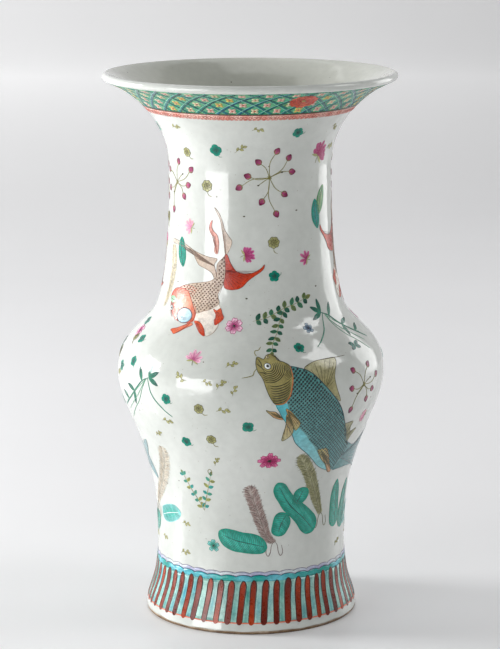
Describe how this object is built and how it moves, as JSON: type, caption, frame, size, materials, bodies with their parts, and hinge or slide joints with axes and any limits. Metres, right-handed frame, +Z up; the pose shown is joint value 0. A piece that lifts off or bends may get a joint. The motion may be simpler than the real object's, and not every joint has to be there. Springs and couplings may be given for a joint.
{
  "type": "vase",
  "caption": "Tall porcelain vase with a splayed foot, high rounded belly, trumpet neck and rolled lip, glazed inside and out, with painted fish and enamel borders.",
  "frame": {"origin": "centre of the foot ring's standing face", "axes": "+Z up along the vase's axis; -Y is the painted front, with the large carp; +X is to the right seen from the front"},
  "size_m": [0.2414, 0.2412, 0.451],
  "materials": {
    "porcelain_body": "matte, bare fired porcelain, toasted to a warm brown at its exposed edge",
    "luting_slip": "matte fired slip",
    "clear_glaze": "gloss, faintly green-grey, with small iron specks and pinholes",
    "translucent_enamel": "gloss translucent overglaze enamels, mostly greens and turquoise",
    "iron_red_enamel": "satin overglaze iron red",
    "lappet_enamel": "satin iron red and gloss turquoise overglaze enamels"
  },
  "bodies": {
    "root": {"foot": "porcelain_body", "lower_body": "porcelain_body", "shoulder": "porcelain_body", "neck": "porcelain_body", "foot_seam_slip": "luting_slip", "belly_seam_slip": "luting_slip", "neck_seam_slip": "luting_slip", "outer_glaze": "clear_glaze", "inner_glaze": "clear_glaze", "recess_glaze": "clear_glaze", "lattice_border": "translucent_enamel", "scroll_border": "iron_red_enamel", "lappet_border": "lappet_enamel"}
  },
  "joints": []
}
